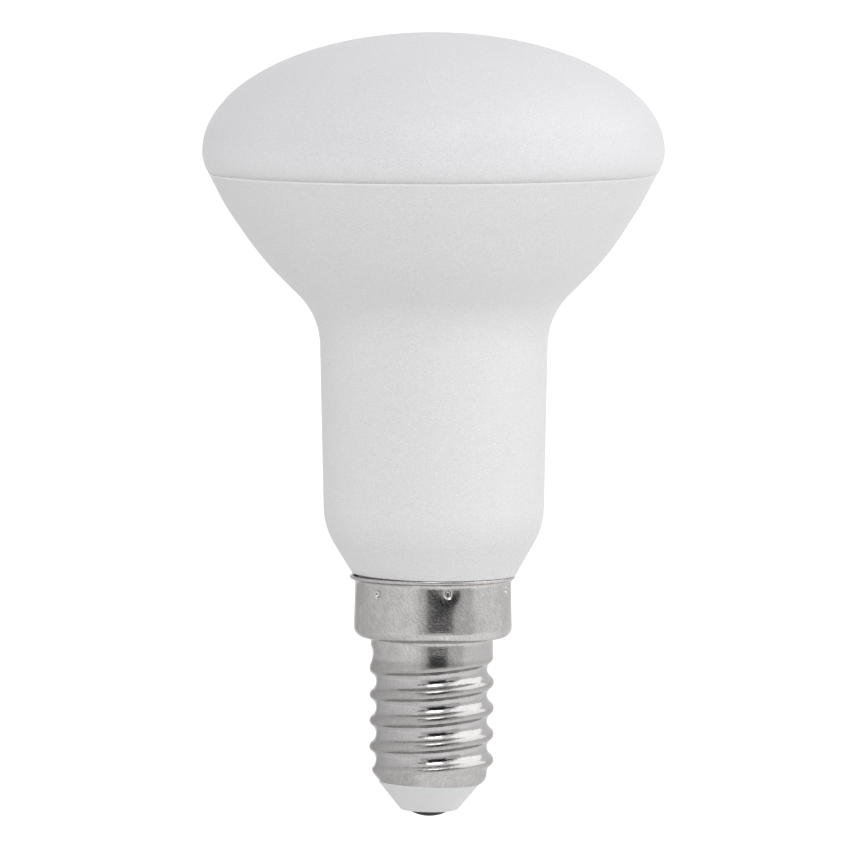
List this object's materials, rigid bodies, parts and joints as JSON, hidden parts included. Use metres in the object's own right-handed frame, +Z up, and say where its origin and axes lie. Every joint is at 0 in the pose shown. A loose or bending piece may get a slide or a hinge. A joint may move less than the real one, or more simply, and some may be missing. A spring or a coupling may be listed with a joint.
{
  "type": "reflector bulb",
  "caption": "Reflector bulb with an opal dome in a flared white housing, on a small Edison screw cap with a crimped skirt and a white insulator round its centre contact.",
  "frame": {"origin": "lowest point of the centre contact, on the lamp's axis", "axes": "+Z up the lamp's axis from the centre contact to the top of the dome, -Y towards the side that the picture shows, +X to the right of that view"},
  "size_m": [0.05, 0.05, 0.085],
  "materials": {
    "opal_plastic": "opal white, satin gloss, light-diffusing",
    "white_plastic": "moulded white, matte with a fine grain",
    "plated_sheet": "nickel-plated thin sheet, satin, finely drawn",
    "white_insulator": "moulded white, semi-gloss",
    "contact_metal": "dark tinned metal, dull"
  },
  "bodies": {
    "root": {"diffuser": "opal_plastic", "housing": "white_plastic", "screw_cap": "plated_sheet", "cap_insulator": "white_insulator", "contact_pin": "contact_metal"}
  },
  "joints": []
}
